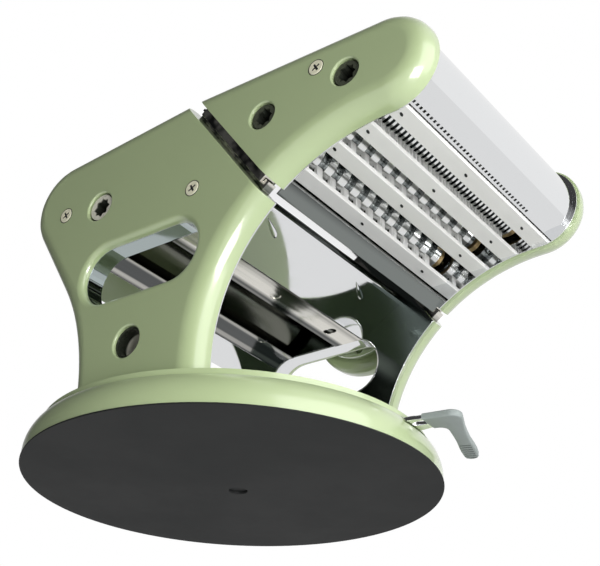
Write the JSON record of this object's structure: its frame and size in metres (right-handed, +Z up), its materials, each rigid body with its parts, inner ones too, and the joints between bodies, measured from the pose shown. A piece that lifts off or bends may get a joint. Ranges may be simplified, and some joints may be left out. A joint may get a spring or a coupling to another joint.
{
  "type": "hand cranked pasta machine",
  "caption": "Hand cranked pasta machine: two cheeks with dough rollers and a gap knob, a slide-on cutter head with combs, and a round foot with a suction lever.",
  "frame": {"origin": "centre of the suction pad's bottom face, on the table", "axes": "+Z up, +X from the roller body towards the cutter head, the cheek with the crank sockets at -Y and the gap knob at +Y"},
  "size_m": [0.312, 0.243, 0.204],
  "materials": {
    "enamel": "glossy sage green plastic, moulded with thick walls",
    "chrome": "mirror bright chromed steel sheet",
    "plate_steel": "satin steel side plate",
    "roller_aluminium": "turned and anodised aluminium",
    "steel": "bright turned steel",
    "gear_steel": "hobbed steel with oil film",
    "zinc_screw": "yellowish zinc plated screw",
    "bronze": "sintered bronze bush",
    "foot_rubber": "matte black suction rubber",
    "comb_nylon": "white moulded food plastic",
    "grip_plastic": "grey soft plastic sleeve with ribs",
    "cast_zinc": "die cast block, matt"
  },
  "bodies": {
    "body": {"suction_pad": "foot_rubber", "base_dome": "enamel", "base_bridge": "plate_steel", "bridge_screws": "zinc_screw", "near_cover": "enamel", "far_cover": "enamel", "near_plate": "plate_steel", "far_plate": "plate_steel", "near_slot_collar": "chrome", "far_slot_collar": "chrome", "foot_screws": "zinc_screw", "tie_rods": "steel", "cover_screws": "zinc_screw", "front_apron": "chrome", "front_hopper_plate": "chrome", "rear_panel": "chrome", "rear_hopper_plate": "chrome", "front_scraper": "chrome", "rear_scraper": "chrome", "roller_bushes": "bronze", "park_socket": "chrome", "joint_rails": "chrome", "knob_bush": "bronze", "index_ring": "chrome"},
    "drive_roller": {"drive_roller": "roller_aluminium", "drive_socket": "chrome", "drive_gear": "gear_steel"},
    "gap_carriage": {"gap_blocks": "cast_zinc", "gap_tie_rod": "steel", "gap_yoke": "cast_zinc"},
    "adjustable_roller": {"adjustable_roller": "roller_aluminium", "adjustable_gear": "gear_steel"},
    "knob_hub": {"knob_hub": "steel", "knob_screw": "zinc_screw", "knob_spring": "steel"},
    "gap_knob": {"gap_knob": "enamel"},
    "lift_lever": {"lift_cam": "cast_zinc", "lift_lever": "chrome", "lever_grip": "grip_plastic"},
    "lift_stem": {"lift_stem": "steel", "lift_pin": "steel"},
    "cutter_head": {"cutter_near_cover": "enamel", "cutter_far_cover": "enamel", "cutter_near_plate": "plate_steel", "cutter_far_plate": "plate_steel", "cutter_channels": "chrome", "cutter_housing": "chrome", "cutter_back_panel": "chrome", "cutter_deck": "chrome", "cutter_cover_screws": "zinc_screw", "cutter_tie_rods": "steel", "cutter_bushes": "bronze", "wide_combs": "comb_nylon", "narrow_combs": "comb_nylon"},
    "wide_cutter": {"wide_cutter": "roller_aluminium", "wide_socket": "chrome"},
    "wide_cutter_mate": {"wide_cutter_mate": "roller_aluminium"},
    "narrow_cutter": {"narrow_cutter": "roller_aluminium", "narrow_socket": "chrome"},
    "narrow_cutter_mate": {"narrow_cutter_mate": "roller_aluminium"}
  },
  "joints": [
    {"name": "drive_roller_spin", "type": "hinge", "parent": "body", "child": "drive_roller", "pos_m": [-0.036, 0, 0.151], "axis": [0, 1, 0], "continuous": true},
    {"name": "knob_turn", "type": "hinge", "parent": "body", "child": "knob_hub", "pos_m": [0.01935, 0, 0.151], "axis": [0, 1, 0], "range_deg": [0, 180]},
    {"name": "gap_slide", "type": "slide", "parent": "body", "child": "gap_carriage", "axis": [-1, 0, 0], "range_m": [0, 0.0023]},
    {"name": "adjustable_roller_spin", "type": "hinge", "parent": "gap_carriage", "child": "adjustable_roller", "pos_m": [0.0205, 0, 0.151], "axis": [0, 1, 0], "continuous": true},
    {"name": "knob_pull", "type": "slide", "parent": "knob_hub", "child": "gap_knob", "axis": [0, 1, 0], "range_m": [0, 0.0025], "stiffness_N_per_m": 1500, "springref_m": -0.003, "deforming": ["knob_spring"]},
    {"name": "lever_turn", "type": "hinge", "parent": "body", "child": "lift_lever", "pos_m": [0, 0, 0], "axis": [0, 0, 1], "range_deg": [0, 45]},
    {"name": "stem_lift", "type": "slide", "parent": "body", "child": "lift_stem", "axis": [0, 0, 1], "range_m": [0, 0.003]},
    {"name": "cutter_slide", "type": "slide", "parent": "body", "child": "cutter_head", "axis": [-0.5962, 0, 0.8028], "range_m": [0, 0.1]},
    {"name": "wide_cutter_spin", "type": "hinge", "parent": "cutter_head", "child": "wide_cutter", "pos_m": [0.086, 0, 0.168], "axis": [0, 1, 0], "continuous": true},
    {"name": "wide_cutter_mate_spin", "type": "hinge", "parent": "cutter_head", "child": "wide_cutter_mate", "pos_m": [0.1135, 0, 0.17099], "axis": [0, 1, 0], "continuous": true},
    {"name": "narrow_cutter_spin", "type": "hinge", "parent": "cutter_head", "child": "narrow_cutter", "pos_m": [0.141, 0, 0.17397], "axis": [0, 1, 0], "continuous": true},
    {"name": "narrow_cutter_mate_spin", "type": "hinge", "parent": "cutter_head", "child": "narrow_cutter_mate", "pos_m": [0.1665, 0, 0.17675], "axis": [0, 1, 0], "continuous": true}
  ],
  "couplings": [
    {"joint": "knob_turn", "follows": "gap_slide", "rad_per_m": 1365.9},
    {"joint": "adjustable_roller_spin", "follows": "drive_roller_spin", "ratio": -1},
    {"joint": "stem_lift", "follows": "lever_turn", "m_per_rad": 0.0038197},
    {"joint": "wide_cutter_mate_spin", "follows": "wide_cutter_spin", "ratio": -1},
    {"joint": "narrow_cutter_mate_spin", "follows": "narrow_cutter_spin", "ratio": -1}
  ]
}
